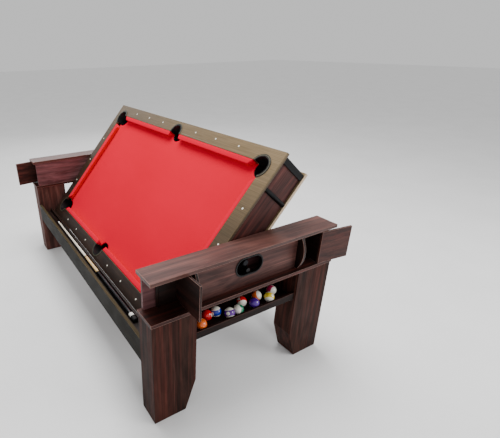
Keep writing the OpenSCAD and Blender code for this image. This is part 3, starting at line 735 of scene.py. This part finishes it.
def make_balls():
    """Ten balls in two staggered rows, each against the tray's lip or its back."""
    front, back = -(TRAY_FRONT - TRAY_LIP_T) + BALL_R, -(TRAY_BACK + TRAY_BACK_T) - BALL_R
    colours = {"orange": rgb(250, 110, 20), "red": rgb(226, 12, 22), "blue": rgb(8, 44, 178),
               "purple": rgb(88, 8, 140), "green": rgb(16, 122, 84), "indigo": rgb(72, 6, 140),
               "yellow": rgb(248, 214, 46), "magenta": rgb(190, 30, 88)}
    row = [(-0.267, front, "orange", False), (-0.204, back, "red", False), (-0.146, back, "blue", True),
           (-0.092, front, "purple", True), (-0.033, front, "green", True), (0.024, back, "red", True),
           (0.073, front, "indigo", False), (0.128, back, "orange", True), (0.180, front, "yellow", True),
           (0.236, back, "magenta", True)]
    rng = random.Random(7)
    looks = {}
    for k, (x, y, word, striped) in enumerate(row):
        key = word + ("_stripe" if striped else "_solid")
        if key not in looks:
            looks[key] = ball_look("ball_" + key, colours[word], striped)
        mesh = bpy.data.meshes.new(f"pool_ball_{k + 1}")
        bm = bmesh.new()
        bmesh.ops.create_icosphere(bm, subdivisions=5, radius=BALL_R - 0.0001)
        bm.to_mesh(mesh)
        bm.free()
        for face in mesh.polygons:
            face.use_smooth = True
        mesh.materials.append(looks[key])
        ball = linked(mesh.name, mesh)
        ball.location = (x, y, TRAY_FLOOR + BALL_R)
        ball.rotation_euler = [rng.uniform(0, 2 * math.pi) for _ in range(3)]
        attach(ball, "stand")
        if k == 0:
            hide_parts("pool_balls")


make_balls()


# ---------------------------------------------------------------- cue
def cue_wood(name, low, high):
    look = Look(name)
    at = look.place()
    grain = look.noise(look.stretched(at, (420, 4, 420)), 1.0, 4.0, 0.6, 0.4)
    fleck = look.noise(look.stretched(at, (900, 30, 900)), 1.0, 2.0, 0.6)
    base = look.mix(look.grey(grain, 0.3, 0.7), low, high)
    base = look.mix(look.grey(fleck, 0.6, 0.75, 0.0, 0.3), base, tinted(low, 0.5))
    return look.set(Base_Color=base, Roughness=look.grey(grain, 0.3, 0.7, 0.2, 0.32), Coat_Weight=0.5,
                    Normal=look.bump(grain, 0.08, 0.0003))


def make_cue():
    """Two-piece cue: rubber bumper, butt with rings, forearm, joint collar, shaft, ferrule and tip."""
    gloss = plastic("cue_black_lacquer", rgb(14, 14, 16), 0.22, 500.0, 0.03)
    white = plastic("cue_white_ring", rgb(232, 230, 222), 0.25, 500.0, 0.03)
    rubber = plastic("cue_bumper_rubber", rgb(24, 24, 24), 0.75, 900.0, 0.2)
    forearm = cue_wood("cue_forearm_maple", rgb(198, 160, 104), rgb(232, 202, 150))
    shaft = cue_wood("cue_shaft_pale", rgb(216, 206, 186), rgb(246, 240, 226))
    brass = metal("cue_joint_collar", rgb(196, 176, 120), 0.25)
    leather = plastic("cue_tip_leather", rgb(70, 96, 130), 0.85, 900.0, 0.3)
    middle = 0.5 * CUE_L
    butt_from, shaft_to = 0.006, CUE_L - 0.004

    def radius(h):
        if h < middle:
            return CUE_BUTT_R + (CUE_MIDDLE_R - CUE_BUTT_R) * (h - butt_from) / (middle - butt_from)
        return CUE_MIDDLE_R + (CUE_TIP_R - CUE_MIDDLE_R) * (h - middle) / (shaft_to - middle)

    materials = (gloss, white, rubber, forearm, shaft, brass, leather)
    GLOSS, WHITE, RUBBER, FOREARM, SHAFT, BRASS, LEATHER = range(len(materials))
    under = {GLOSS: 0.0004, RUBBER: 0.0006}
    rings = [(0.030, RUBBER), (0.0305, GLOSS), (0.036, GLOSS), (0.0365, WHITE), (0.062, WHITE),
             (0.0625, GLOSS), (0.12, GLOSS), (0.30, GLOSS), (0.45, GLOSS), (0.566, GLOSS),
             (0.5665, BRASS), (0.572, BRASS), (0.5725, FOREARM), (0.66, FOREARM), (middle - 0.014, FOREARM),
             (middle + 0.020, FOREARM), (0.795, FOREARM), (0.7955, BRASS), (0.812, BRASS), (0.8125, SHAFT),
             (0.90, SHAFT), (1.1, SHAFT), (1.3, SHAFT), (1.468, SHAFT), (1.4685, WHITE), (1.493, WHITE),
             (1.4935, LEATHER), (1.4975, LEATHER)]
    profile = [(0.009, 0.0), (0.0125, 0.0012), (0.0135, 0.004)]
    marks = [RUBBER] * len(profile)
    for h, kind in rings:
        profile.append((radius(h) - under.get(kind, 0.0002), h))
        marks.append(kind)
    profile.append((CUE_TIP_R - 0.0022, 1.4995))
    at = (-SHELF_LIP_X - CUE_BUTT_R - CUE_GAP, CUE_START_Y, SHELF_TOP + CUE_BUTT_R + CUE_GAP)
    place = Matrix.Translation(at) @ Matrix.Rotation(-math.pi / 2, 4, "X")
    cue = lathe("pool_cue_two_piece", profile, marks, 40, place, materials, "stand")
    recalc(cue)
    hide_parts("pool_cue")


make_cue()


# ---------------------------------------------------------------- camera, floor and light
def make_camera():
    """The camera that the photo was fitted with: where it stands, where it looks and its small roll."""
    stand = (-1.1600, -2.3522, 1.7357)
    ahead = Vector((0.44064, 0.78457, -0.43622)).normalized()
    roll = -0.0157
    cam = linked("camera", bpy.data.cameras.new("camera"))
    cam.data.sensor_width = 36.0
    cam.data.lens = 28.03
    cam.data.shift_x, cam.data.shift_y = 0.1644, 0.0249
    cam.data.clip_start, cam.data.clip_end = 0.05, 60
    right = ahead.cross(Vector((0, 0, 1))).normalized()
    up = right.cross(ahead)
    turned_right = right * math.cos(roll) + up * math.sin(roll)
    turned_up = up * math.cos(roll) - right * math.sin(roll)
    basis = Matrix((turned_right, turned_up, -ahead)).transposed()
    cam.matrix_world = Matrix.Translation(stand) @ basis.to_4x4()
    bpy.context.scene.camera = cam


def make_floor():
    """Wide plain studio floor, faintly mottled."""
    look = Look("studio_floor")
    cloud = look.noise(look.place(), 2.0, 3.0, 0.5)
    base = look.mix(look.grey(cloud, 0.3, 0.7), (0.86, 0.86, 0.86, 1), (0.9, 0.9, 0.9, 1))
    look.set(Base_Color=base, Roughness=0.9)
    size, parts = 60.0, 8
    places = [size * (k / parts - 0.5) for k in range(parts + 1)]
    verts = [(x, y, 0.0) for x in places for y in places]
    row = parts + 1
    corners = [i * row + j for i in range(parts) for j in range(parts)]
    faces = [(c, c + row, c + row + 1, c + 1) for c in corners]
    mesh = bpy.data.meshes.new("studio_floor")
    mesh.from_pydata(verts, [], faces)
    mesh.materials.append(look.mat)
    floor = linked("studio_floor", mesh)


def area_light(name, place, aim, size, power):
    data = bpy.data.lights.new(name, "AREA")
    data.shape = "RECTANGLE"
    data.size, data.size_y = size
    data.energy = power
    lamp = linked(name, data)
    lamp.location = place
    lamp.rotation_euler = (Vector(aim) - Vector(place)).to_track_quat("-Z", "Y").to_euler()


make_camera()
make_floor()
area_light("key", (0.1, 0.3, 4.6), (0, 0, 0.7), (2.2, 2.6), 240)
area_light("front_right", (3.0, -4.2, 2.6), (0, -0.4, 0.6), (2.4, 2.0), 110)
area_light("back", (1.5, 5.0, 3.0), (0, 0, 0.8), (4.0, 2.0), 60)
world = bpy.data.worlds.new("studio")
bpy.context.scene.world = world
world.use_nodes = True
world.node_tree.nodes["Background"].inputs[0].default_value = (1, 1, 1, 1)
world.node_tree.nodes["Background"].inputs[1].default_value = 0.72
